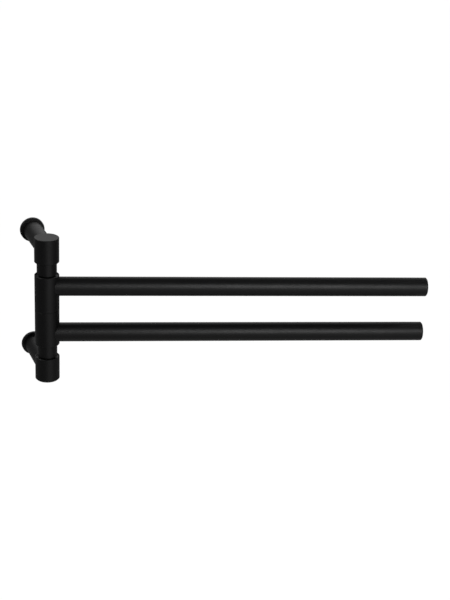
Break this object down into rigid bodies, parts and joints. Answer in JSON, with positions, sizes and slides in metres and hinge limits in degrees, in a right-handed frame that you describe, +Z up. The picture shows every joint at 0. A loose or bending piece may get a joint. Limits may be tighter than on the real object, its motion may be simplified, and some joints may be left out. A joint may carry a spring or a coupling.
{
  "type": "swing arm towel bar",
  "caption": "Wall-mounted towel rail: round bars stacked on one upright spindle swivel sideways, held off the wall by horizontal standoffs.",
  "frame": {"origin": "on the wall plane, midway between the centres of the two wall screw holes", "axes": "+X along the wall, the way the arms lie; +Y into the wall; +Z up, along the spindle"},
  "size_m": [0.4024, 0.1763, 0.1574],
  "materials": {
    "black_coat": "matte black powder coat",
    "steel": "turned stainless steel",
    "zinc_steel": "bright zinc plate",
    "black_screw": "black oxide",
    "spring_steel": "tempered spring strip",
    "black_polymer": "moulded, matte",
    "white_polymer": "turned acetal"
  },
  "bodies": {
    "root": {"upper_wall_plate": "zinc_steel", "upper_wall_flange": "black_coat", "upper_standoff": "black_coat", "upper_plate_grub": "black_screw", "upper_standoff_stud": "steel", "lower_wall_plate": "zinc_steel", "lower_wall_flange": "black_coat", "lower_standoff": "black_coat", "lower_plate_grub": "black_screw", "lower_standoff_stud": "steel", "upper_head": "black_coat", "lower_head": "black_coat", "upper_neck_sleeve": "black_coat", "spindle": "steel", "foot_screw": "black_screw", "lock_washer": "spring_steel", "wave_washer": "spring_steel", "upper_thrust_washer": "black_polymer", "middle_thrust_washer": "black_polymer", "lower_thrust_washer": "black_polymer"},
    "upper_arm": {"upper_hub": "black_coat", "upper_hub_seam_bush": "white_polymer", "upper_hub_outer_bush": "white_polymer", "upper_bar_tube": "black_coat", "upper_bar_plug": "steel", "upper_bar_stud": "steel", "upper_bar_end_cap": "black_coat"},
    "lower_arm": {"lower_hub": "black_coat", "lower_hub_seam_bush": "white_polymer", "lower_hub_outer_bush": "white_polymer", "lower_bar_tube": "black_coat", "lower_bar_plug": "steel", "lower_bar_stud": "steel", "lower_bar_end_cap": "black_coat", "lower_neck_sleeve": "black_coat"}
  },
  "joints": [
    {"name": "upper_arm_swing", "type": "hinge", "parent": "root", "child": "upper_arm", "pos_m": [0, -0.066, 0.0256], "axis": [0, 0, -1], "range_deg": [-14.6, 165.4]},
    {"name": "lower_arm_swing", "type": "hinge", "parent": "root", "child": "lower_arm", "pos_m": [0, -0.066, -0.0256], "axis": [0, 0, -1], "range_deg": [-14.6, 165.4]}
  ]
}
